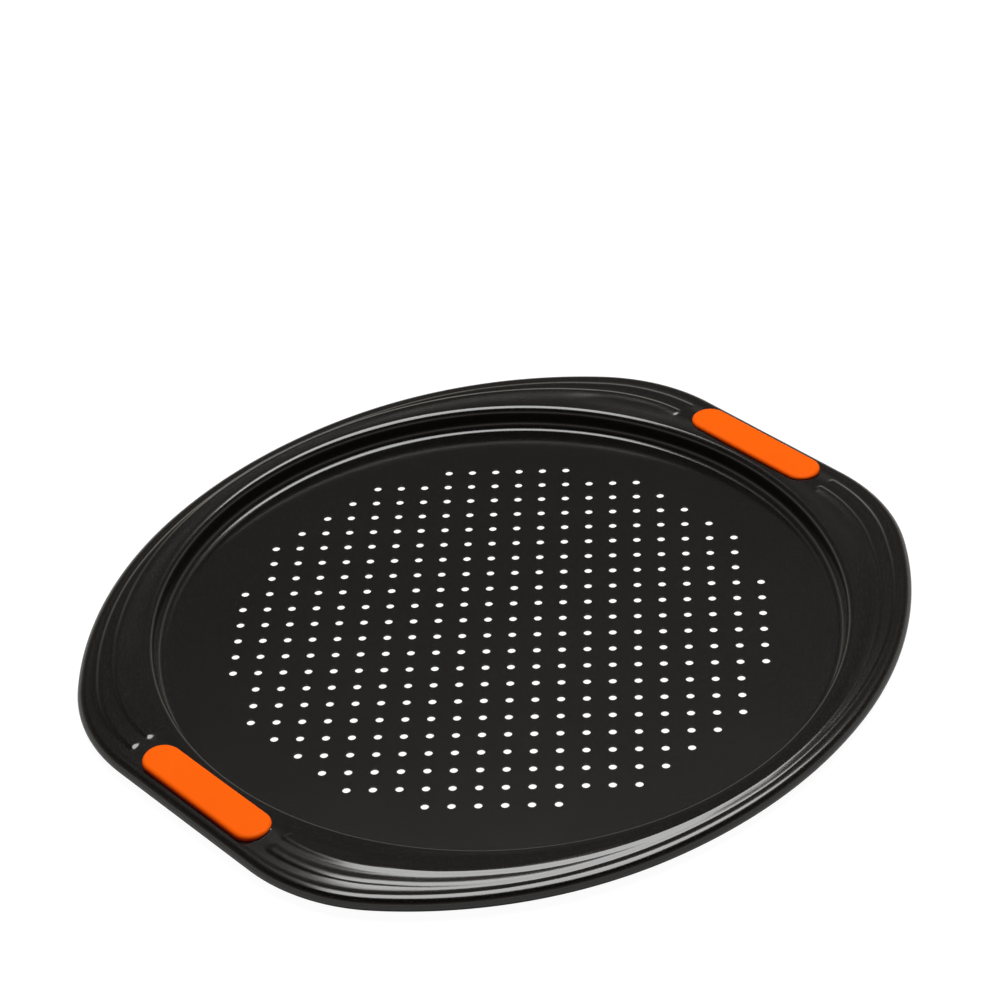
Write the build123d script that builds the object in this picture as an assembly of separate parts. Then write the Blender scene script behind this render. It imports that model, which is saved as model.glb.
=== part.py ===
from build123d import *
import math
import os

# Pizza pan with a perforated base, pressed from one sheet, and two moulded grips.
# Millimetres, +Z up. X runs through the grips, Y across the plain sides.
# The origin is the middle of the flat underside, which the pan stands on.

# Pressed sheet: a round well with a nearly upright wall, and a wide flange round its mouth
sheet = 0.8
flange_height = 12.2
well_foot_radius = 161.4
wall_spread = 2.1
foot_fillet = 4.1
fold_fillet = 3.3

# Flange outline, a quarter from the middle of a grip side to the middle of a plain side:
# a straight, a corner arc, a flank arc and a side arc, each tangent to the next
flange_at_grip = 27.7
flange_at_side = 17.1
straight_half = 45.7
corner_radius = 89.6
corner_turn = 39.4
flank_turn = 75.6

# Rim: the flange slopes down to a curled bead, which is hollow and open inside
bead_radius = 4.1
bead_drop = 0.6
slope_angle = 10.5
curl_gap_angle = 30.0

# Round holes on a square grid that is turned to the grips, with a plain band round the field
hole_diameter = 4.0
hole_pitch = 11.8
plain_band = 31.4
hole_grid_turn = 45.0

# Raised ribs on the flange, an inner and an outer one round each plain side
rib_rise = 0.6
rib_end_past_grip = 8.0
inner_rib_half_width = 2.4
inner_rib_from_edge_at_grip = 20.3
inner_rib_from_edge_at_side = 11.0
inner_rib_corner_radius = 70.0
outer_rib_half_width = 1.8
outer_rib_from_edge_at_grip = 11.1
outer_rib_from_edge_at_side = 6.4
outer_rib_corner_radius = 72.0

# Grips: soft grommets, each a pad on top, a neck through a slot and a lip below
grip_length = 83.0
grip_width = 18.6
grip_from_edge = 5.4
grip_proud = 2.3
grip_edge_round = 1.8
pad_overhang = 3.8
lip_overhang = 1.0
lip_thickness = 1.6
lip_edge_round = 0.5
grip_clearance = 0.1

# How far cutting and joining shapes run past the face they meet
overrun = 0.3

# Worked out from the sizes above
well_mouth_radius = well_foot_radius + wall_spread
wall_lean = math.atan2(wall_spread, flange_height - sheet)
half_length = well_mouth_radius + flange_at_grip
half_width = well_mouth_radius + flange_at_side
hole_field_radius = well_foot_radius - plain_band
slope = math.radians(slope_angle)
slope_sheet = sheet / math.cos(slope)
bead_height = flange_height - bead_drop - bead_radius
bead_touch_x = bead_radius * (math.sin(slope) - 1)
bead_touch_z = bead_height + bead_radius * math.cos(slope)
slope_top_x = bead_touch_x - (flange_height - bead_touch_z) / math.tan(slope)
slope_join_x = slope_top_x - sheet * math.tan(slope / 2)
rib_end = grip_length / 2 + rib_end_past_grip
grip_middle = half_length - grip_from_edge - grip_width / 2
slot_width = grip_width - 2 * pad_overhang
slot_length = grip_length - 2 * pad_overhang


def flank_and_side_radii():
    """Radii of the flank and side arcs that close the quarter on both middle lines."""
    corner, flank = math.radians(corner_turn), math.radians(flank_turn)
    across = half_length - corner_radius * (1 - math.cos(corner))
    along = half_width - straight_half - corner_radius * math.sin(corner)
    flank_x, side_x = math.cos(corner) - math.cos(flank), math.cos(flank)
    flank_y, side_y = math.sin(flank) - math.sin(corner), 1 - math.sin(flank)
    divisor = flank_x * side_y - side_x * flank_y
    flank_radius = (across * side_y - side_x * along) / divisor
    side_radius = (flank_x * along - across * flank_y) / divisor
    return flank_radius, side_radius


def quarter_arcs():
    """The three arcs of a quarter: centre, radius, and start and end angle in degrees."""
    flank_radius, side_radius = flank_and_side_radii()
    corner, flank = math.radians(corner_turn), math.radians(flank_turn)
    corner_x = half_length - corner_radius
    flank_x = corner_x - (flank_radius - corner_radius) * math.cos(corner)
    flank_y = straight_half - (flank_radius - corner_radius) * math.sin(corner)
    side_y = flank_y - (side_radius - flank_radius) * math.sin(flank)
    return [
        ((corner_x, straight_half), corner_radius, 0, corner_turn),
        ((flank_x, flank_y), flank_radius, corner_turn, flank_turn),
        ((0, side_y), side_radius, flank_turn, 90),
    ]


def mirrored_four(shape):
    """A shape in the +X +Y quarter with its three mirror images."""
    pair = [shape, mirror(shape, Plane.YZ)]
    return pair + [mirror(each, Plane.XZ) for each in pair]


def outline_face(inset):
    """The flange outline drawn in by inset, as a flat face at height zero."""
    edge_x = half_length - inset
    quarter = [Line((edge_x, 0), (edge_x, straight_half))]
    for centre, radius, start, end in quarter_arcs():
        quarter.append(CenterArc(centre, radius - inset, start, end - start))
    edges = [edge for line in quarter for edge in mirrored_four(line.edge())]
    return make_face(edges)


def along_outline(section):
    """Carry a section round the outline. It lies on XZ, with X measured outward from the edge."""
    straight = extrude(Pos(half_length, 0, 0) * section, amount=straight_half, dir=(0, 1, 0))
    solids = mirrored_four(straight)
    for (centre_x, centre_y), radius, start, end in quarter_arcs():
        turned = Rot(0, 0, start) * Pos(radius, 0, 0) * section
        solids += mirrored_four(Pos(centre_x, centre_y, 0) * revolve(turned, Axis.Z, end - start))
    return Part() + solids


def flange_layer(low, high):
    """A layer that follows the flange and its slope, between two heights above their top."""
    flat = extrude(Pos(0, 0, flange_height + low) * outline_face(-slope_join_x), amount=high - low)
    corners = [
        (slope_join_x, flange_height + low),
        (slope_join_x, flange_height + high),
        (slope_top_x, flange_height + high),
        (bead_touch_x, bead_touch_z + high),
        (bead_touch_x, bead_touch_z + low),
        (slope_top_x, flange_height + low),
    ]
    return flat + along_outline(Plane.XZ * make_face(Polyline(*corners, close=True)))


def well():
    """The round well without its base disc: foot fillet, leaning wall and fold into the flange."""
    shift = sheet * math.tan(math.radians(45) - wall_lean / 2)
    inner_end = well_foot_radius - foot_fillet - overrun
    outer_end = well_mouth_radius + fold_fillet
    upper = FilletPolyline(
        (inner_end, sheet),
        (well_foot_radius, sheet),
        (well_mouth_radius, flange_height),
        (outer_end, flange_height),
        radius=[foot_fillet, fold_fillet],
    )
    lower = FilletPolyline(
        (inner_end, 0),
        (well_foot_radius + shift, 0),
        (well_mouth_radius + shift, flange_height - sheet),
        (outer_end, flange_height - sheet),
        radius=[foot_fillet + sheet, fold_fillet - sheet],
    )
    ends = [Line(upper @ 0, lower @ 0), Line(upper @ 1, lower @ 1)]
    section = Plane.XZ * make_face(upper.edges() + lower.edges() + ends)
    return revolve(section, Axis.Z)


def hole_places():
    """Centres of the holes: half a pitch off the grid's middle lines, inside the round field."""
    count = int(hole_field_radius / hole_pitch) + 1
    steps = [(step + 1 / 2) * hole_pitch for step in range(-count, count)]
    inside = [Vector(x, y) for x in steps for y in steps if math.hypot(x, y) <= hole_field_radius]
    return [place.rotate(Axis.Z, hole_grid_turn) for place in inside]


def base():
    """The flat disc inside the foot fillet, with its grid of round holes."""
    rim = Wire.make_circle(well_foot_radius - foot_fillet)
    holes = [Wire.make_circle(hole_diameter / 2, Plane(place)) for place in hole_places()]
    return extrude(Face(rim, holes), amount=sheet, dir=(0, 0, 1))


def flange():
    """The flat part of the flange, from the well's fold to the top of the slope."""
    flat = extrude(Pos(0, 0, flange_height - sheet) * outline_face(-slope_join_x), amount=sheet)
    mouth = Cylinder(well_mouth_radius + fold_fillet, 2 * flange_height)
    return flat - Pos(0, 0, flange_height) * mouth


def rim():
    """The slope and the curled bead in one section, carried round the outline."""
    tube_radius = bead_radius - sheet
    middle = Vector(-bead_radius, bead_height)
    touch_angle = 90 - slope_angle
    reach = math.degrees(math.acos(tube_radius / bead_radius))
    curl = 360 - reach - curl_gap_angle
    outer_curl = CenterArc(middle, bead_radius, touch_angle, -curl)
    inner_curl = CenterArc(middle, tube_radius, touch_angle, -curl)
    lines = [
        Line((slope_join_x, flange_height), (slope_top_x, flange_height)),
        Line((slope_top_x, flange_height), outer_curl @ 0),
        Line(outer_curl @ 1, inner_curl @ 1),
        Line(inner_curl @ 0, (slope_join_x, flange_height - sheet)),
        Line((slope_join_x, flange_height - sheet), (slope_join_x, flange_height)),
    ]
    edges = [line.edge() for line in lines + [outer_curl, inner_curl]]
    return along_outline(Plane.XZ * make_face(edges))


def rib_band(from_edge_at_grip, from_edge_at_side, corner, reach):
    """Plan of one rib: a band of even width along two corner arcs and a side arc, round ended."""
    grip_x = half_length - from_edge_at_grip
    side_y = half_width - from_edge_at_side
    corner_x = grip_x - corner
    rise = side_y - rib_end
    side = (corner_x**2 + rise**2 - corner**2) / (2 * (rise - corner))
    side_middle = side_y - side
    turn = math.degrees(math.atan2(rib_end - side_middle, corner_x))
    half = [
        CenterArc((corner_x, rib_end), corner + reach, 0, turn),
        CenterArc((corner_x, rib_end), corner - reach, 0, turn),
        CenterArc((0, side_middle), side + reach, turn, 90 - turn),
        CenterArc((0, side_middle), side - reach, turn, 90 - turn),
        CenterArc((grip_x, rib_end), reach, 180, 180),
    ]
    edges = [arc.edge() for arc in half]
    return make_face(edges + [mirror(edge, Plane.YZ) for edge in edges])


def ribs(low, high, drawn_in):
    """All four ribs between two heights above the flange's top, with sides drawn in."""
    inner = rib_band(
        inner_rib_from_edge_at_grip,
        inner_rib_from_edge_at_side,
        inner_rib_corner_radius,
        inner_rib_half_width - drawn_in,
    )
    outer = rib_band(
        outer_rib_from_edge_at_grip,
        outer_rib_from_edge_at_side,
        outer_rib_corner_radius,
        outer_rib_half_width - drawn_in,
    )
    bars = [extrude(band, amount=2 * flange_height) for band in (inner, outer)]
    bars += [mirror(bar, Plane.XZ) for bar in bars]
    return flange_layer(low, high) & (Part() + bars)


def grip_plan(side, drawn_in):
    """Plan of a grip's slot, with round ends, grown where drawn_in is negative. Side is 1 or -1."""
    plan = SlotOverall(slot_length - 2 * drawn_in, slot_width - 2 * drawn_in, rotation=90)
    return Pos(side * grip_middle, 0, 0) * plan


def pan():
    """The whole pressed sheet: base, well, flange, rim and hollow ribs, slotted for the grips."""
    shell = base() + well() + flange() + rim()
    shell += ribs(-sheet / 2, rib_rise, 0)
    shell -= ribs(-slope_sheet - overrun, rib_rise - sheet, sheet)
    for side in (-1, 1):
        shell -= extrude(grip_plan(side, 0), amount=2 * flange_height)
    return shell


def grip(side):
    """One grip: its pad seats on the flange, its neck fills the slot, and its lip holds below."""
    lip_bottom = flange_height - sheet - lip_thickness
    top = flange_height + grip_proud
    pad = extrude(Pos(0, 0, bead_height) * grip_plan(side, -pad_overhang), amount=top - bead_height)
    pad = fillet(pad.edges().group_by(Axis.Z)[-1], grip_edge_round)
    pad -= flange_layer(-flange_height, grip_clearance)
    lip = extrude(Pos(0, 0, lip_bottom) * grip_plan(side, -lip_overhang), amount=lip_thickness + sheet)
    lip = fillet(lip.edges().group_by(Axis.Z)[0], lip_edge_round)
    lip -= flange_layer(-slope_sheet - grip_clearance, flange_height)
    neck_length = (flange_height + top) / 2 - lip_bottom
    neck = extrude(Pos(0, 0, lip_bottom) * grip_plan(side, grip_clearance), amount=neck_length)
    return pad + lip + neck


def write(node, shape):
    """Save one named piece."""
    export_step(shape, "parts/" + node + ".step")


os.makedirs("parts", exist_ok=True)
write("pan", pan())
write("grip_left", grip(-1))
write("grip_right", grip(1))
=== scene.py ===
import math
import bpy
import numpy as np
from mathutils import Matrix, Vector
from mathutils.geometry import delaunay_2d_cdt


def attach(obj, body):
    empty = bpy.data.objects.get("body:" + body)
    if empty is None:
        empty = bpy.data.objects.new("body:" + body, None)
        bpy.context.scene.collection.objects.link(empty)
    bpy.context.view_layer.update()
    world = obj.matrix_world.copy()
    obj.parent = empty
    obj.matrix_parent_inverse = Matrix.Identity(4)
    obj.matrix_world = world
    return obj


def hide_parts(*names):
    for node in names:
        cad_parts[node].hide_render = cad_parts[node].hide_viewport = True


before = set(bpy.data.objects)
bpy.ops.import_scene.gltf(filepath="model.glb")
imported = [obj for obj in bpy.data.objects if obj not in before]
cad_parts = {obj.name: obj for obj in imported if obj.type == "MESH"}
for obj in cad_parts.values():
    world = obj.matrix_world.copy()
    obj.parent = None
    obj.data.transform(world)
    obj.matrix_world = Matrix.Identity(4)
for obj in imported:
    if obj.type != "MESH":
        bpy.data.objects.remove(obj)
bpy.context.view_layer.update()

# Sizes are in millimetres, as in the CAD source, and go to metres where a mesh is made.
mm = 0.001


def makePiece(name, points, faces, flatFaces, material, node):
    # Mesh from points in millimetres and lists of corners; the last flatFaces faces are shaded flat.
    mesh = bpy.data.meshes.new(name)
    mesh.from_pydata((points * mm).tolist(), [], faces)
    smooth = np.ones(len(faces), bool)
    smooth[len(faces) - flatFaces:] = False
    mesh.polygons.foreach_set("use_smooth", smooth)
    mesh.update()
    mesh.validate()
    piece = bpy.data.objects.new(name, mesh)
    bpy.context.scene.collection.objects.link(piece)
    mesh.materials.append(material)
    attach(piece, "root")
    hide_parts(node)
    triangles = sum(len(face) - 2 for face in faces)
    print(f"{name}: {len(points)} points, {triangles} triangles")


def smoothThrough(x, knots):
    # Cubic through the knots, whose slope at a knot is the mean of the slopes on its two sides, the
    # nearer knot's side weighing more, and level with the end knots past them.
    kx, ky = np.array(knots, float).T
    slope = np.gradient(ky, kx)
    part = np.clip(np.searchsorted(kx, x, side="right") - 1, 0, len(kx) - 2)
    gap = kx[part + 1] - kx[part]
    u = np.clip((x - kx[part]) / gap, 0, 1)
    first = (1 + 2 * u) * (1 - u) ** 2 * ky[part] + u * (1 - u) ** 2 * gap * slope[part]
    return first + u * u * (3 - 2 * u) * ky[part + 1] + u * u * (u - 1) * gap * slope[part + 1]


pan = {
    "halfLength": 191.19, "halfWidth": 180.59,
    "straight": 45.7, "cornerRadius": 89.6,
    "cornerTurn": math.radians(39.4), "flankTurn": math.radians(75.6),
    "sheet": 0.8,
    "baseRadius": 157.5, "footRadius": 158.08, "footFillet": 4.06,
    "foldRadius": 165.8, "foldFillet": 3.29, "foldTop": 12.2, "lean": math.radians(5.0),
    "beadRadius": 4.05, "beadHeight": 7.5, "curlTurn": math.radians(290),
    # inset from the edge and how steeply the flange rises towards the well there, in degrees
    "tilt": [(0, 0), (4.05, 0), (5.25, -4.5), (6.65, 3), (8.05, 6.5), (10.05, 9.8), (12.55, 9.8),
             (16, 3.1), (21, 1.8), (26, 0), (45, -1)],
    "tiltSteps": 901,
    # length along the edge, and from how far out of the fold the flange comes down to the fold's top there
    "levelling": [(0, 12), (107, 12.5), (130, 17), (155, 15), (185, 12.5), (220, 9.2), (260, 7),
                  (301.5, 6.2)],
    "ribRise": 0.51, "ribEnd": 49.5,
    # length along the edge from the middle of the grip side, and the rib's inset there
    "innerRib": [(0, 20.2), (50, 20.15), (85, 19.85), (107, 18.65), (130, 16.9), (155, 15.05),
                 (185, 13.05), (220, 11.6), (260, 9.95), (301.5, 9.3)],
    "outerRib": [(0, 11.1), (85, 11.0), (107, 10.6), (130, 9.6), (155, 8.9), (185, 8.35), (220, 8.4),
                 (260, 8.15), (301.5, 7.6)],
    # how far the inner rib reaches in from its middle
    "innerRibIn": [(0, 5.0), (95, 5.2), (107, 5.6), (130, 9), (155, 10), (185, 9.5), (220, 8.5),
                   (260, 8), (301.5, 8)],
    "innerRibOut": 2.45, "outerRibIn": 4.6, "outerRibOut": 2.15,
    "slotHalfLength": 35.8,
    "holeRadius": 1.9, "holeEdge": 0.06, "holeSides": 16,
    "pitch": 11.8, "fieldRadius": 130.0, "gridTurn": math.radians(45),
    # how close the net's columns on the flange may come to the fold, to each other and to the bead
    "foldMargin": 0.6, "ribMargin": 0.15, "beadMargin": 0.5,
    "flangeColumns": [4, 8, 8, 6, 8, 8, 10],
    # stations along a quarter of the edge: over the slot, beside it, close together over the ribs' ends
    # as first, last and gap, and over the rest
    "slotStations": 10, "besideSlot": [39.8, 43.0], "ribEndStations": (46.2, 51.6, 0.45),
    "restStations": 72,
}


def edgeQuarter():
    # Joins of the quarter's straight and three arcs: length, angle, and each part's centre and radius.
    # The last two radii are solved so that the quarter ends at the half width, square to the middle line.
    p = pan
    corner, flank = p["cornerTurn"], p["flankTurn"]
    across = p["halfLength"] - p["cornerRadius"] * (1 - math.cos(corner))
    along = p["halfWidth"] - p["straight"] - p["cornerRadius"] * math.sin(corner)
    rows = [
        [math.cos(corner) - math.cos(flank), math.cos(flank)],
        [math.sin(flank) - math.sin(corner), 1 - math.sin(flank)],
    ]
    flankRadius, sideRadius = np.linalg.solve(rows, [across, along])
    radius = np.array([0, p["cornerRadius"], flankRadius, sideRadius])
    angle = np.array([0, 0, corner, flank, math.pi / 2])
    length = np.cumsum([0, p["straight"], *(radius[1:] * np.diff(angle[1:]))])
    centre = [(p["halfLength"], 0.0)]
    at = np.array([p["halfLength"], p["straight"]])
    for part in (1, 2, 3):
        start = np.array([math.cos(angle[part]), math.sin(angle[part])])
        end = np.array([math.cos(angle[part + 1]), math.sin(angle[part + 1])])
        centre.append(at - radius[part] * start)
        at = centre[-1] + radius[part] * end
    return length, angle, np.array(centre), radius


def edgeStations(quarter):
    # Points and outward directions all round the edge, from the lengths of one quarter and its mirror images.
    length, angle, centre, radius = edgeQuarter()
    there, back = quarter[:-1], quarter[::-1][:-1]
    s = np.concatenate([there, back, there, back])
    count = len(quarter) - 1
    signX = np.repeat([1, -1, -1, 1], count)
    signY = np.repeat([1, 1, -1, -1], count)
    part = np.clip(np.searchsorted(length, s, side="right") - 1, 0, 3)
    turn = np.interp(s, length, angle)
    x = centre[part, 0] + radius[part] * np.cos(turn)
    y = centre[part, 1] + radius[part] * np.sin(turn) + np.where(part == 0, s, 0)
    points = np.stack([signX * x, signY * y], 1)
    outward = np.stack([signX * np.cos(turn), signY * np.sin(turn)], 1)
    return s, points, outward


def insetAtRadius(points, outward, radius):
    # How far along the inward direction a point of the edge meets the circle of that radius round the middle.
    reach = (points * outward).sum(1)
    return reach - np.sqrt(radius ** 2 - (points ** 2).sum(1) + reach ** 2)


def flangeHeight(s, inset, radius, ribs=0):
    # The tilts added up from the top of the bead inwards, with the ribs on them, eased to the fold's top
    # over the levelling's length by three times the square less twice the cube.
    knots = np.array(pan["tilt"], float)
    steps = np.linspace(0, knots[-1, 0], pan["tiltSteps"])
    rise = np.tan(np.radians(np.interp(steps, knots[:, 0], knots[:, 1])))
    height = np.concatenate([[0], np.cumsum((rise[1:] + rise[:-1]) / 2 * np.diff(steps))])
    free = pan["beadHeight"] + pan["beadRadius"] + np.interp(inset, steps, height) + ribs
    levelling = smoothThrough(s, pan["levelling"])
    near = np.clip((pan["foldRadius"] + levelling - radius) / levelling, 0, 1)
    near = near * near * (3 - 2 * near)
    return free + (pan["foldTop"] - free) * near


def ribBump(s, inset, middle, inner, outer):
    # A raised cosine across the rib, with a round end towards the grip.
    across = (inset - middle) / np.where(inset > middle, inner, outer)
    past = np.minimum(s - pan["ribEnd"], 0) / ((inner + outer) / 2)
    away = np.clip(np.hypot(across, past), 0, 1)
    return pan["ribRise"] / 2 * (1 + np.cos(math.pi * away))


def flangeSurface(s, inset, radius):
    # The flange's height with both ribs on it, each a raised cosine about its own line.
    p = pan
    reach = smoothThrough(s, p["innerRibIn"])
    inner = ribBump(s, inset, smoothThrough(s, p["innerRib"]), reach, p["innerRibOut"])
    outer = ribBump(s, inset, smoothThrough(s, p["outerRib"]), p["outerRibIn"], p["outerRibOut"])
    return flangeHeight(s, inset, radius, inner + outer)


def flangeInsets(s, foldInset):
    # Insets of the flange's columns, which follow the ribs' edges and middles from the fold to the bead.
    p = pan
    inner, outer = smoothThrough(s, p["innerRib"]), smoothThrough(s, p["outerRib"])
    between = (inner + outer) / 2
    marks = [
        foldInset,
        np.minimum(inner + smoothThrough(s, p["innerRibIn"]), foldInset - p["foldMargin"]),
        inner,
        np.maximum(inner - p["innerRibOut"], between + p["ribMargin"]),
        np.minimum(outer + p["outerRibIn"], between - p["ribMargin"]),
        outer,
        np.maximum(outer - p["outerRibOut"], p["beadRadius"] + p["beadMargin"]),
        np.full(len(s), p["beadRadius"]),
    ]
    runs = []
    for start, end, count in zip(marks, marks[1:], p["flangeColumns"]):
        runs.append(start[:, None] + (end - start)[:, None] * np.arange(count) / count)
    return np.hstack(runs)


def buildPan(material):
    # One net over the whole sheet: its columns run from the base over the flange, round the bead's curl
    # and back along the underside, and its rows are the stations round the edge.
    p = pan
    edges = edgeQuarter()[0]
    near = np.linspace(0, p["slotHalfLength"], p["slotStations"] + 1)
    ends = np.arange(*p["ribEndStations"])
    rest = np.linspace(ends[-1], edges[-1], p["restStations"])[1:]
    quarter = np.concatenate([near, p["besideSlot"], ends, rest])
    s, points, outward = edgeStations(quarter)
    count = len(s)

    foldInset = insetAtRadius(points, outward, p["foldRadius"])
    foldCentre = p["foldTop"] - p["foldFillet"]
    onFold = points - outward * foldInset[:, None]
    radial = onFold / np.hypot(onFold[:, 0], onFold[:, 1])[:, None]

    def around(radius, height):
        # Columns on circles round the middle, all the way round.
        radius, height = np.atleast_1d(radius, height)
        flat = radial[:, None] * radius[:, None]
        return np.concatenate([flat, np.broadcast_to(height[:, None], flat.shape[:2] + (1,))], 2)

    def along(inset, height):
        # Columns along the edge; inset and height are one row per station or one for all.
        inset, height = [np.broadcast_to(each, (count, np.shape(each)[-1])) for each in (inset, height)]
        return np.concatenate([points[:, None] - outward[:, None] * inset[:, :, None], height[:, :, None]], 2)

    def footArc(radius, steps):
        # The well's foot, from straight down to the wall's lean.
        turn = np.linspace(-math.pi / 2, -p["lean"], steps)
        middle = p["sheet"] + p["footFillet"]
        return around(p["footRadius"] + radius * np.cos(turn), middle + radius * np.sin(turn))

    def foldArc(radius, steps):
        # The fold, from the wall's lean to straight up, less its last column, which is the flange's first.
        turn = np.linspace(math.pi - p["lean"], math.pi / 2, steps)[:-1]
        return around(p["foldRadius"] + radius * np.cos(turn), foldCentre + radius * np.sin(turn))

    def wall(foot, fold, steps):
        # Straight from the end of the foot to the start of the fold.
        share = np.linspace(0, 1, steps + 2)[1:-1][None, :, None]
        return foot[:, -1:] * (1 - share) + fold[:, :1] * share

    def curl(radius, start, end, steps):
        # A circle about the bead's middle.
        turn = np.linspace(start, end, steps)
        inset = p["beadRadius"] - radius * np.cos(turn)
        return along(inset[None], (p["beadHeight"] + radius * np.sin(turn))[None])

    insets = flangeInsets(s, foldInset)
    sheet = p["sheet"]
    inside = p["beadRadius"] - sheet
    foot, fold = footArc(p["footFillet"], steps=9), foldArc(p["foldFillet"], steps=10)
    onFlange = along(insets, insets)   # only its x and y count
    fromMiddle = np.hypot(onFlange[:, :, 0], onFlange[:, :, 1])
    flange = along(insets, flangeSurface(s[:, None], insets, fromMiddle))
    bead = curl(p["beadRadius"], math.pi / 2, math.pi / 2 - p["curlTurn"], steps=29)
    flat = around(p["baseRadius"], sheet)
    top = [flat, foot, wall(foot, fold, steps=3), fold, flange, bead]

    footUnder = footArc(p["footFillet"] + sheet, steps=7)
    foldUnder = foldArc(p["foldFillet"] - sheet, steps=7)
    inner = curl(inside, math.pi / 2 - p["curlTurn"], math.pi / 2, steps=17)[:, :-1]
    flangeUnder = flange[:, ::2].copy()
    flangeUnder[:, :, 2] -= sheet
    flangeUnder = flangeUnder[:, ::-1]
    atBead = along(np.array([[p["beadRadius"]]]), np.array([[p["beadHeight"] + inside]]))
    wallUnder = wall(footUnder, foldUnder, steps=2)
    under = [inner, atBead, flangeUnder, foldUnder[:, ::-1], wallUnder[:, ::-1], footUnder[:, ::-1]]
    flatUnder = around(p["baseRadius"], 0.0)
    grid = np.concatenate(top + under + [flatUnder], 1)
    columns = grid.shape[1]

    def index(station, column):
        # A point's number, with the stations closed to a ring.
        return (station % count) * columns + column

    # Slot columns: two out from the inner rib's middle and two in from the outer rib's outer edge
    firstFlange = sum(block.shape[1] for block in top[:4])
    innerMiddle = firstFlange + sum(p["flangeColumns"][:2])
    outerEdge = firstFlange + sum(p["flangeColumns"][:6])
    slotIn, slotOut = innerMiddle + 2, outerEdge - 2
    firstUnder = sum(block.shape[1] for block in top) + inner.shape[1] + 1
    underCount = flangeUnder.shape[1]

    def below(column):
        # The underside has every second column of the flange, in the opposite order.
        return firstUnder + underCount - 1 - (column - firstFlange) // 2

    slotStations = p["slotStations"]
    station, column = np.meshgrid(np.arange(count), np.arange(columns - 1), indexing="ij")
    fromSlot = np.minimum.reduce([np.abs(station + 0.5 - k * count / 2) for k in (0, 1, 2)])
    slotAbove = (column >= slotIn) & (column < slotOut)
    slotBelow = (column >= below(slotOut)) & (column < below(slotIn))
    keep = ~((fromSlot < slotStations) & (slotAbove | slotBelow))
    a, b = station[keep], column[keep]
    faces = np.stack([index(a, b), index(a, b + 1), index(a + 1, b + 1), index(a + 1, b)], 1).tolist()

    # Slot walls: along both long sides, and five-cornered ones across the ends
    inBelow, outBelow = below(slotIn), below(slotOut)
    for middle in (0, count // 2):
        for k in range(-slotStations, slotStations):
            i, j = middle + k, middle + k + 1
            faces.append([index(j, slotIn), index(j, inBelow), index(i, inBelow), index(i, slotIn)])
            faces.append([index(i, outBelow), index(j, outBelow), index(j, slotOut), index(i, slotOut)])
        for c in range(slotIn, slotOut, 2):
            for i, way in ((middle - slotStations, -1), (middle + slotStations, 1)):
                five = [(i, c), (i, c + 1), (i, c + 2), (i, below(c + 2)), (i, below(c))]
                faces.append([index(*each) for each in five[::way]])

    # Holes: four rings each, on a square grid half a pitch off its middle lines
    reach = int(p["fieldRadius"] / p["pitch"]) + 1
    steps = (np.arange(-reach, reach) + 0.5) * p["pitch"]
    u, v = [each.ravel() for each in np.meshgrid(steps, steps)]
    inField = np.hypot(u, v) <= p["fieldRadius"]
    u, v = u[inField], v[inField]
    c, t = math.cos(p["gridTurn"]), math.sin(p["gridTurn"])
    holes = np.stack([c * u - t * v, t * u + c * v], 1)
    turn = np.arange(p["holeSides"]) / p["holeSides"] * 2 * math.pi
    circle = np.stack([np.cos(turn), np.sin(turn)], 1)
    wide, narrow = p["holeRadius"] + p["holeEdge"], p["holeRadius"]
    rings = []
    section = ((wide, sheet), (narrow, sheet - p["holeEdge"]), (narrow, p["holeEdge"]), (wide, 0))
    for radius, height in section:
        xy = holes[:, None] + radius * circle[None]
        rings.append(np.concatenate([xy, np.full(xy.shape[:2] + (1,), height)], 2))
    gridPoints = grid.reshape(-1, 3)
    ringSize = len(holes) * p["holeSides"]
    firstRing = len(gridPoints) + np.arange(4) * ringSize
    allPoints = np.concatenate([gridPoints] + [ring.reshape(-1, 3) for ring in rings])
    this = np.arange(ringSize).reshape(len(holes), -1)
    following = np.roll(this, -1, 1)
    for upper, lower in zip(firstRing, firstRing[1:]):
        quads = np.stack([upper + this, upper + following, lower + following, lower + this], 2)
        faces += quads.reshape(-1, 4).tolist()

    # The flat base between the holes, on top and below: one plane net through the circles
    loop = np.arange(count)
    flatXY = np.concatenate([grid[:, 0, :2], rings[0].reshape(-1, 3)[:, :2]])
    holeBounds = count + np.stack([this, following], 2).reshape(-1, 2)
    bounds = np.concatenate([np.stack([loop, np.roll(loop, -1)], 1), holeBounds])
    wholeHull, mergedWithin = 0, 1e-6
    corners = [Vector(each) for each in flatXY.tolist()]
    net = delaunay_2d_cdt(corners, bounds.tolist(), [], wholeHull, mergedWithin)
    triangles = np.array(net[2])
    where = np.array([tuple(each) for each in net[0]])
    centres = where[triangles].mean(1)
    across, up = c * centres[:, 0] + t * centres[:, 1], c * centres[:, 1] - t * centres[:, 0]
    turned = np.stack([across, up], 1) / p["pitch"]
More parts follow.
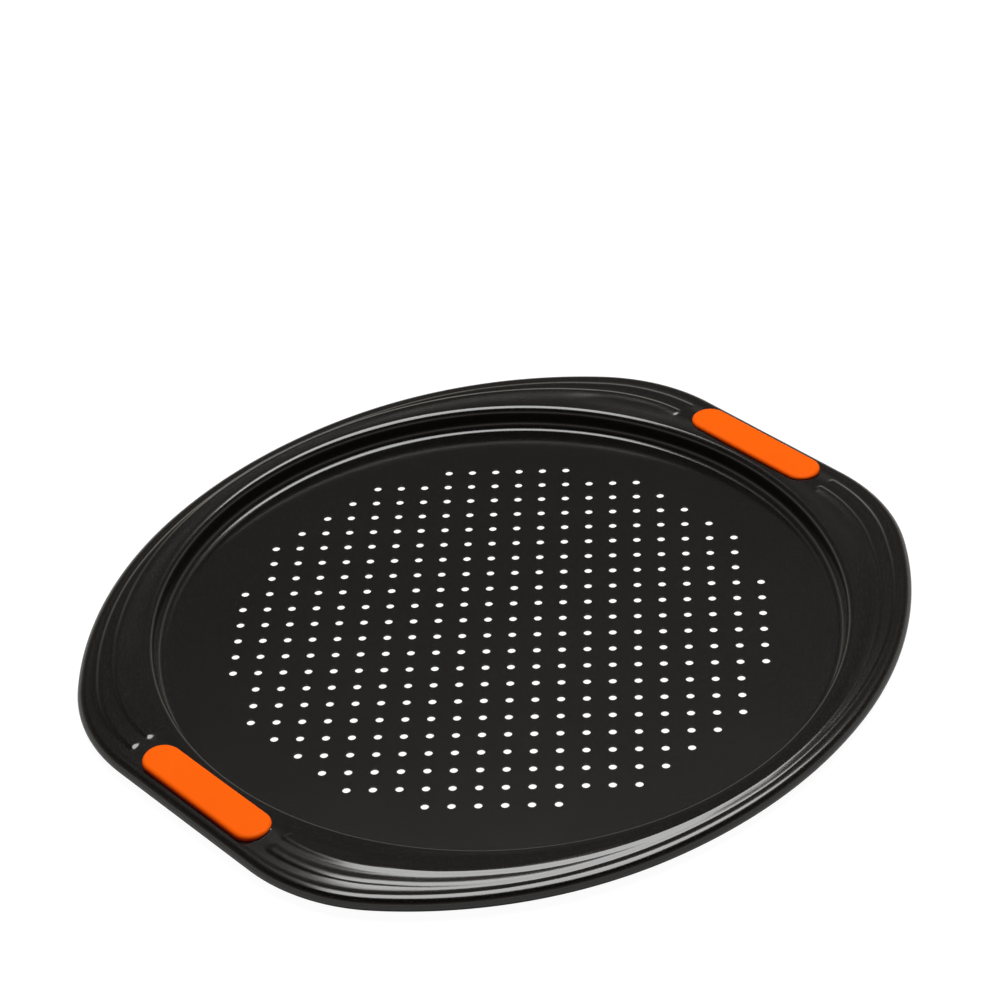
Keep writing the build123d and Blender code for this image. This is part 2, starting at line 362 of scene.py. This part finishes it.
    # a triangle goes where its middle is in a hole; a place of the grid past the field has no hole
    offCentre = np.hypot(*(turned - np.floor(turned) - 0.5).T) * p["pitch"]
    nearest = (np.floor(turned) + 0.5) * p["pitch"]
    inHole = (offCentre < p["holeRadius"]) & (np.hypot(*nearest.T) <= p["fieldRadius"])
    triangles = triangles[~inHole]
    order = np.array([each[0] for each in net[3]])
    upperIds = np.concatenate([index(loop, 0), firstRing[0] + np.arange(ringSize)])[order]
    lowerIds = np.concatenate([index(loop, columns - 1), firstRing[3] + np.arange(ringSize)])[order]
    first, second, third = where[triangles].transpose(1, 0, 2)
    toSecond, toThird = second - first, third - first
    turnsLeft = toSecond[:, 0] * toThird[:, 1] - toSecond[:, 1] * toThird[:, 0] > 0
    triangles[~turnsLeft] = triangles[~turnsLeft][:, ::-1]
    faces += upperIds[triangles].tolist()
    faces += lowerIds[triangles[:, ::-1]].tolist()
    flatFaces = 2 * len(triangles)
    makePiece("panShell", allPoints, faces, flatFaces, material, "pan")


grip = {
    "middle": 176.5,
    # the outline that every ring is drawn off, with nearly full round ends
    "halfWidth": 5.5, "halfLength": 36.3, "endFlat": 0.05,
    # how far off it the pad, the neck and the lip reach
    "pad": 3.75, "neck": -0.65, "neckShorter": 1.0, "lip": 1.0,
    "top": 14.49, "crown": 0.12, "edge": 1.9, "leastSide": 0.3, "gap": 0.06, "bevel": 0.15,
    "lipBottom": 9.6, "lipEdge": 0.5,
    # offsets and turns of the rings in between, the turns in degrees
    "topRings": (-5.3, -4, -2.5, -1, 0.3, 1.3), "seatRings": (2.2, 0.8), "lipRing": 0.4,
    "edgeTurns": [0, 12, 24, 36, 48, 60, 75, 90], "lipTurns": [0, 30, 60, 90],
}


def gripRing(off, shorter, corners):
    # Bar with round ends, drawn out by off: each corner's centre plus the bend's radius in the point's
    # direction. The two rows of corners say for each point which corner is its own, and its direction.
    g = grip
    half = np.array([g["halfWidth"] + off, g["halfLength"] + off - shorter])
    bend = half[0] - g["endFlat"]
    return corners[0] * (half - bend) + corners[1] * bend


def buildGrip(name, node, side, material):
    # Rings joined in turn: over the pad's top, round its edge, down its side, in along the flange, through
    # the slot, out under the flange, and down and in round the lip.
    g = grip
    turn = np.linspace(0, math.pi / 2, 15)[:, None]
    arc = np.hstack([np.cos(turn), np.sin(turn)])
    longs, shorts = np.linspace(-1, 1, 9)[1:-1, None], np.linspace(1, -1, 7)[1:-1, None]
    which = np.concatenate([
        np.hstack([np.ones_like(longs), longs]), np.tile([1, 1], (len(turn), 1)),
        np.hstack([shorts, np.ones_like(shorts)]), np.tile([-1, 1], (len(turn), 1)),
    ])
    ways = np.concatenate([
        np.tile([1, 0], (len(longs), 1)), arc,
        np.tile([0, 1], (len(shorts), 1)), np.stack([-arc[:, 1], arc[:, 0]], 1),
    ])
    corners = np.array([np.concatenate([which, -which]), np.concatenate([ways, -ways])])

    def ring(off, height, shorter=0):
        # One ring, at a fixed height or at a height worked out at each point.
        xy = gripRing(off, shorter, corners)
        inset = pan["halfLength"] - g["middle"] - xy[:, 0]
        radius = np.hypot(g["middle"] + xy[:, 0], xy[:, 1])
        z = height(xy[:, 0], inset, radius) if callable(height) else np.full(len(xy), height)
        return np.column_stack([xy, z])

    def seated(x, inset, radius):
        # Just above the flange.
        return flangeHeight(0, inset, radius) + g["gap"]

    def held(x, inset, radius):
        # Just below the flange.
        return flangeHeight(0, inset, radius) - pan["sheet"] - g["gap"]

    def rounded(turn):
        # The pad's top, lowered by the square of the way across, falls round its edge by one less the
        # cosine of the turn, and by less where the pad is thin.
        def height(x, inset, radius):
            top = g["top"] - g["crown"] * (x / (g["halfWidth"] + g["pad"])) ** 2
            fall = np.minimum(g["edge"], top - seated(x, inset, radius) - g["leastSide"])
            return top - fall * (1 - math.cos(turn))
        return height

    rings = [ring(off, rounded(0)) for off in g["topRings"]]
    for turnEdge in np.radians(g["edgeTurns"]):
        rings.append(ring(g["pad"] - g["edge"] * (1 - math.sin(turnEdge)), rounded(turnEdge)))
    rings.append(ring(g["pad"], lambda *at: seated(*at) + g["bevel"]))
    rings.append(ring(g["pad"] - g["bevel"], seated))
    rings += [ring(off, seated) for off in g["seatRings"]]
    rings += [ring(g["neck"], height, g["neckShorter"]) for height in (seated, held)]
    rings += [ring(off, held) for off in (g["lipRing"], g["lip"] - g["bevel"])]
    rings.append(ring(g["lip"], lambda *at: held(*at) - g["bevel"]))
    for turnEdge in np.radians(g["lipTurns"]):
        off = g["lip"] - g["lipEdge"] * (1 - math.cos(turnEdge))
        rings.append(ring(off, g["lipBottom"] + g["lipEdge"] * (1 - math.sin(turnEdge))))
    size = len(corners[0])
    points = np.concatenate(rings)
    this = np.arange(size)
    following = np.roll(this, -1)
    faces = []
    for k in range(len(rings) - 1):
        inner, outer = k * size, (k + 1) * size
        faces += np.stack([inner + this, outer + this, outer + following, inner + following], 1).tolist()
    faces.append(this.tolist())
    faces.append(((len(rings) - 1) * size + this[::-1]).tolist())
    points[:, 0] = side * (g["middle"] + points[:, 0])
    if side < 0:
        faces = [face[::-1] for face in faces]
    makePiece(name, points, faces, 0, material, node)


def newMaterial(name, color, roughness, **sockets):
    # Principled material; a socket's name is written with _ for its spaces.
    material = bpy.data.materials.new(name)
    material.use_nodes = True
    tree = material.node_tree
    shader = tree.nodes["Principled BSDF"]
    shader.inputs["Base Color"].default_value = (*color, 1)
    shader.inputs["Roughness"].default_value = roughness
    for socket, value in sockets.items():
        shader.inputs[socket.replace("_", " ")].default_value = value
    return material, tree, shader


def addNode(tree, kind, **values):
    # New node; a value named as one of its settings goes there, and any other to the socket of that name.
    node = tree.nodes.new(kind)
    for key, value in values.items():
        if key in node.bl_rna.properties:
            setattr(node, key, value)
        else:
            node.inputs[key].default_value = value
    return node


coat = {
    "color": (0.0022, 0.0020, 0.0018), "fleck": (0.03, 0.028, 0.025), "roughness": 0.155, "ior": 1.64,
    "fleckScale": 1400, "fleckFrom": 0.56, "fleckTo": 0.78,
    "driftScale": 14.0, "drift": 0.02,
    "grainScale": 1300, "grainStrength": 0.35, "grainDepth": 0.000025,
}


def coatMaterial():
    # Black non-stick coat: glossy, with fine pale flecks.
    c = coat
    material, tree, shader = newMaterial("nonStickCoat", c["color"], c["roughness"], IOR=c["ior"])
    link = tree.links.new
    place = addNode(tree, "ShaderNodeTexCoord")
    # Flecks: the peaks of a fine noise are paler
    fleck = addNode(tree, "ShaderNodeTexNoise", Scale=c["fleckScale"], Detail=2.0, Roughness=0.6)
    link(place.outputs["Object"], fleck.inputs["Vector"])
    peaks = addNode(tree, "ShaderNodeMapRange")
    peaks.inputs["From Min"].default_value = c["fleckFrom"]
    peaks.inputs["From Max"].default_value = c["fleckTo"]
    link(fleck.outputs["Fac"], peaks.inputs["Value"])
    mix = addNode(tree, "ShaderNodeMix", data_type="RGBA")
    mix.inputs[6].default_value = (*c["color"], 1)
    mix.inputs[7].default_value = (*c["fleck"], 1)
    link(peaks.outputs["Result"], mix.inputs[0])
    link(mix.outputs[2], shader.inputs["Base Color"])
    # Roughness drifts a little over the sheet
    drift = addNode(tree, "ShaderNodeTexNoise", Scale=c["driftScale"], Detail=3.0)
    link(place.outputs["Object"], drift.inputs["Vector"])
    rough = addNode(tree, "ShaderNodeMapRange")
    rough.inputs["To Min"].default_value = c["roughness"] - c["drift"]
    rough.inputs["To Max"].default_value = c["roughness"] + c["drift"]
    link(drift.outputs["Fac"], rough.inputs["Value"])
    link(rough.outputs["Result"], shader.inputs["Roughness"])
    # Fine sprayed grain
    grain = addNode(tree, "ShaderNodeTexNoise", Scale=c["grainScale"], Detail=2.0)
    link(place.outputs["Object"], grain.inputs["Vector"])
    bump = addNode(tree, "ShaderNodeBump", Strength=c["grainStrength"], Distance=c["grainDepth"])
    link(grain.outputs["Fac"], bump.inputs["Height"])
    link(bump.outputs["Normal"], shader.inputs["Normal"])
    return material


silicone = {
    "color": (0.86, 0.112, 0.0005), "shade": (0.80, 0.099, 0.0004), "cloudScale": 55.0,
    "roughness": 0.45, "drift": 0.05, "ior": 1.41, "specular": 0.05,
    # painted shade: the deeper, redder colour low on the pad's side, fading out between these heights in
    # millimetres
    "paintedShade": (0.42, 0.02, 0.0004), "paintedShadeFrom": 12.5, "paintedShadeTo": 14.3,
    "grainScale": 1400, "grainStrength": 0.4, "grainDepth": 0.00003,
}


def siliconeMaterial():
    # Orange silicone, nearly matt, its colour drifting in soft clouds, with painted shade low on the pad's
    # side.
    c = silicone
    material, tree, shader = newMaterial(
        "siliconeOrange", c["color"], c["roughness"], IOR=c["ior"], Specular_IOR_Level=c["specular"])
    link = tree.links.new
    place = addNode(tree, "ShaderNodeTexCoord")
    cloud = addNode(tree, "ShaderNodeTexNoise", Scale=c["cloudScale"], Detail=4.0)
    link(place.outputs["Object"], cloud.inputs["Vector"])
    mix = addNode(tree, "ShaderNodeMix", data_type="RGBA")
    mix.inputs[6].default_value = (*c["color"], 1)
    mix.inputs[7].default_value = (*c["shade"], 1)
    link(cloud.outputs["Fac"], mix.inputs[0])
    # Painted shade: deeper and redder low on the pad's side, standing in for the shade that side is in
    parts = addNode(tree, "ShaderNodeSeparateXYZ")
    link(place.outputs["Object"], parts.inputs[0])
    height = addNode(tree, "ShaderNodeMapRange", interpolation_type="SMOOTHSTEP")
    height.inputs["From Min"].default_value = c["paintedShadeFrom"] * mm
    height.inputs["From Max"].default_value = c["paintedShadeTo"] * mm
    link(parts.outputs["Z"], height.inputs["Value"])
    side = addNode(tree, "ShaderNodeMix", data_type="RGBA")
    side.inputs[6].default_value = (*c["paintedShade"], 1)
    link(height.outputs["Result"], side.inputs[0])
    link(mix.outputs[2], side.inputs[7])
    link(side.outputs[2], shader.inputs["Base Color"])
    rough = addNode(tree, "ShaderNodeMapRange")
    rough.inputs["To Min"].default_value = c["roughness"] - c["drift"]
    rough.inputs["To Max"].default_value = c["roughness"] + c["drift"]
    link(cloud.outputs["Fac"], rough.inputs["Value"])
    link(rough.outputs["Result"], shader.inputs["Roughness"])
    grain = addNode(tree, "ShaderNodeTexNoise", Scale=c["grainScale"], Detail=2.0)
    link(place.outputs["Object"], grain.inputs["Vector"])
    bump = addNode(tree, "ShaderNodeBump", Strength=c["grainStrength"], Distance=c["grainDepth"])
    link(grain.outputs["Fac"], bump.inputs["Height"])
    link(bump.outputs["Normal"], shader.inputs["Normal"])
    return material


coatSurface = coatMaterial()
siliconeSurface = siliconeMaterial()
buildPan(coatSurface)
buildGrip("gripPadRight", "grip_right", 1, siliconeSurface)
buildGrip("gripPadLeft", "grip_left", -1, siliconeSurface)


studio = {
    # floorColor lights the pan, floorSeen with floorGlow is what the camera sees, floorGlint what mirrors see
    "floorSize": 30.0, "floorHeight": -0.05,
    "floorColor": 0.42, "floorSeen": 0.12, "floorGlow": 0.96, "floorGlint": 0.02,
    # the softbox spans these slopes of direction off the vertical, along and across its own turned axis
    "boxHeight": 6.0, "boxFrom": -0.718, "boxTo": 0.122, "boxLeft": -0.379, "boxRight": 0.424,
    "boxTurn": -0.334, "boxRadiance": 6.8,
    "towardsCamera": (-0.6553, -0.7554),
    "skyTint": (1, 0.93, 0.83), "skyAway": 0.045, "skyEdge": 0.3, "skyHorizon": 1.0, "skyFall": 5.0,
    "skyNearBox": 0.27, "haloFrom": 0.75, "haloTo": 0.97,
}


def buildFloor():
    # A plain square under the pan.
    c = studio
    half = c["floorSize"] / 2
    z = c["floorHeight"] * mm   # just under the base, so that the two don't share a plane
    corners = [(-half, -half, z), (half, -half, z), (half, half, z), (-half, half, z)]
    mesh = bpy.data.meshes.new("floor")
    mesh.from_pydata(corners, [], [(0, 1, 2, 3)])
    floor = bpy.data.objects.new("floor", mesh)
    bpy.context.scene.collection.objects.link(floor)
    material = bpy.data.materials.new("paleFloor")
    material.use_nodes = True
    tree = material.node_tree
    tree.nodes.clear()
    link = tree.links.new
    output = addNode(tree, "ShaderNodeOutputMaterial")
    diffuse = addNode(tree, "ShaderNodeBsdfDiffuse")
    # Seen by the camera, the floor has an even glow that takes it to white, and a darker colour, so that it
    # doesn't pass white; seen in a reflection, it has only a faint glow
    rays = addNode(tree, "ShaderNodeLightPath")
    seen = addNode(tree, "ShaderNodeMath", operation="MULTIPLY_ADD")
    link(rays.outputs["Is Camera Ray"], seen.inputs[0])
    seen.inputs[1].default_value = c["floorSeen"] - c["floorColor"]
    seen.inputs[2].default_value = c["floorColor"]
    link(seen.outputs[0], diffuse.inputs["Color"])
    mirrored = addNode(tree, "ShaderNodeMath", operation="MAXIMUM")
    link(rays.outputs["Is Glossy Ray"], mirrored.inputs[0])
    link(rays.outputs["Is Transmission Ray"], mirrored.inputs[1])
    glint = addNode(tree, "ShaderNodeMath", operation="MULTIPLY")
    link(mirrored.outputs[0], glint.inputs[0])
    glint.inputs[1].default_value = c["floorGlint"]
    level = addNode(tree, "ShaderNodeMath", operation="MULTIPLY_ADD")
    link(rays.outputs["Is Camera Ray"], level.inputs[0])
    level.inputs[1].default_value = c["floorGlow"]
    link(glint.outputs[0], level.inputs[2])
    glow = addNode(tree, "ShaderNodeEmission")
    link(level.outputs[0], glow.inputs["Strength"])
    total = addNode(tree, "ShaderNodeAddShader")
    link(diffuse.outputs[0], total.inputs[0])
    link(glow.outputs[0], total.inputs[1])
    link(total.outputs[0], output.inputs["Surface"])
    mesh.materials.append(material)
    print(f"floor: {c['floorSize']} m across")


def boxAxes():
    # The softbox's own axes: towards the camera and sideways, turned about the vertical.
    toward = Vector((*studio["towardsCamera"], 0))
    sideways = Vector((-toward.y, toward.x, 0))
    c, s = math.cos(studio["boxTurn"]), math.sin(studio["boxTurn"])
    return c * toward + s * sideways, c * sideways - s * toward


def boxMiddle():
    # Direction of the softbox's middle, one unit up.
    toward, sideways = boxAxes()
    along, across = (studio["boxFrom"] + studio["boxTo"]) / 2, (studio["boxLeft"] + studio["boxRight"]) / 2
    return toward * along + sideways * across + Vector((0, 0, 1))


def buildLights():
    # One softbox overhead; its power is its radiance times its area times pi.
    c = studio
    toward, sideways = boxAxes()
    height = c["boxHeight"]
    depth, width = (c["boxTo"] - c["boxFrom"]) * height, (c["boxRight"] - c["boxLeft"]) * height
    light = bpy.data.lights.new("softbox", "AREA")
    light.shape = "RECTANGLE"
    light.size, light.size_y = width, depth
    light.energy = math.pi * width * depth * c["boxRadiance"]
    box = bpy.data.objects.new("softbox", light)
    middle = boxMiddle() * height
    # columns: the box's own x runs sideways, its y towards the camera, and it shines along its own -z, down
    turn = Matrix([-sideways, toward, (-sideways).cross(toward)]).transposed()
    box.matrix_world = Matrix.Translation(middle) @ turn.to_4x4()
    box.visible_camera = False
    bpy.context.scene.collection.objects.link(box)
    print(f"softbox: {width:.2f} by {depth:.2f} m, {light.energy:.0f} W")


def buildWorld():
    # The room: the sum of a side dimming, a glow low down and a halo round the softbox.
    c = studio
    world = bpy.data.worlds.new("studioWorld")
    bpy.context.scene.world = world
    world.use_nodes = True
    tree = world.node_tree
    tree.nodes.clear()
    link = tree.links.new
    output = addNode(tree, "ShaderNodeOutputWorld")
    place = addNode(tree, "ShaderNodeTexCoord")
    # Dim on the side away from the camera and dark on the camera's
    away = addNode(tree, "ShaderNodeVectorMath", operation="DOT_PRODUCT")
    link(place.outputs["Generated"], away.inputs[0])
    away.inputs[1].default_value = (*c["towardsCamera"], 0)
    dimming = addNode(tree, "ShaderNodeMapRange", interpolation_type="SMOOTHSTEP")
    dimming.inputs["From Min"].default_value = -c["skyEdge"]
    dimming.inputs["From Max"].default_value = c["skyEdge"]
    dimming.inputs["To Min"].default_value = c["skyAway"]
    dimming.inputs["To Max"].default_value = 0.0
    link(away.outputs["Value"], dimming.inputs["Value"])
    # Brighter low down, by a falling exponential of the height
    parts = addNode(tree, "ShaderNodeSeparateXYZ")
    link(place.outputs["Generated"], parts.inputs[0])
    falling = addNode(tree, "ShaderNodeMath", operation="MULTIPLY")
    link(parts.outputs["Z"], falling.inputs[0])
    falling.inputs[1].default_value = -c["skyFall"]
    low = addNode(tree, "ShaderNodeMath", operation="EXPONENT")
    link(falling.outputs[0], low.inputs[0])
    horizon = addNode(tree, "ShaderNodeMath", operation="MULTIPLY_ADD")
    link(low.outputs[0], horizon.inputs[0])
    horizon.inputs[1].default_value = c["skyHorizon"]
    link(dimming.outputs["Result"], horizon.inputs[2])
    # A halo round the softbox
    near = addNode(tree, "ShaderNodeVectorMath", operation="DOT_PRODUCT")
    link(place.outputs["Generated"], near.inputs[0])
    near.inputs[1].default_value = boxMiddle().normalized()
    halo = addNode(tree, "ShaderNodeMapRange", interpolation_type="SMOOTHERSTEP")
    halo.inputs["From Min"].default_value = c["haloFrom"]
    halo.inputs["From Max"].default_value = c["haloTo"]
    halo.inputs["To Min"].default_value = 0.0
    halo.inputs["To Max"].default_value = c["skyNearBox"]
    link(near.outputs["Value"], halo.inputs["Value"])
    total = addNode(tree, "ShaderNodeMath", operation="ADD")
    link(horizon.outputs[0], total.inputs[0])
    link(halo.outputs["Result"], total.inputs[1])
    dim = addNode(tree, "ShaderNodeBackground", Color=(*c["skyTint"], 1))
    link(total.outputs[0], dim.inputs["Strength"])
    # The camera itself sees it white
    white = addNode(tree, "ShaderNodeBackground", Color=(1, 1, 1, 1), Strength=1.0)
    rays = addNode(tree, "ShaderNodeLightPath")
    mix = addNode(tree, "ShaderNodeMixShader")
    link(rays.outputs["Is Camera Ray"], mix.inputs["Fac"])
    link(dim.outputs[0], mix.inputs[1])
    link(white.outputs[0], mix.inputs[2])
    link(mix.outputs[0], output.inputs["Surface"])
    print("world: white to the camera, dim to the pan")


view = {
    "place": (-718.11, -834.18, 891.85), "aim": (68.70, 73.02, 0.61), "roll": math.radians(-3.948),
    "lens": 108.0, "sensor": 36.0, "clipFrom": 0.05, "clipTo": 100,
}


def buildCamera():
    # Looks from place to aim, turned by the roll about the line of sight.
    place, aim, roll = Vector(view["place"]), Vector(view["aim"]), view["roll"]
    camera = bpy.data.cameras.new("camera")
    camera.lens, camera.sensor_width = view["lens"], view["sensor"]
    camera.clip_start, camera.clip_end = view["clipFrom"], view["clipTo"]
    holder = bpy.data.objects.new("camera", camera)
    forward = (aim - place).normalized()
    right = forward.cross(Vector((0, 0, 1))).normalized()
    up = right.cross(forward)
    rightRolled = math.cos(roll) * right + math.sin(roll) * up
    upRolled = math.cos(roll) * up - math.sin(roll) * right
    turn = Matrix([rightRolled, upRolled, -forward]).transposed()
    holder.matrix_world = Matrix.Translation(place * mm) @ turn.to_4x4()
    bpy.context.scene.collection.objects.link(holder)
    bpy.context.scene.camera = holder
    print("camera right", [round(v, 5) for v in rightRolled], "up", [round(v, 5) for v in upRolled])


buildFloor()
buildLights()
buildWorld()
buildCamera()
bpy.context.scene.view_settings.view_transform = "Standard"
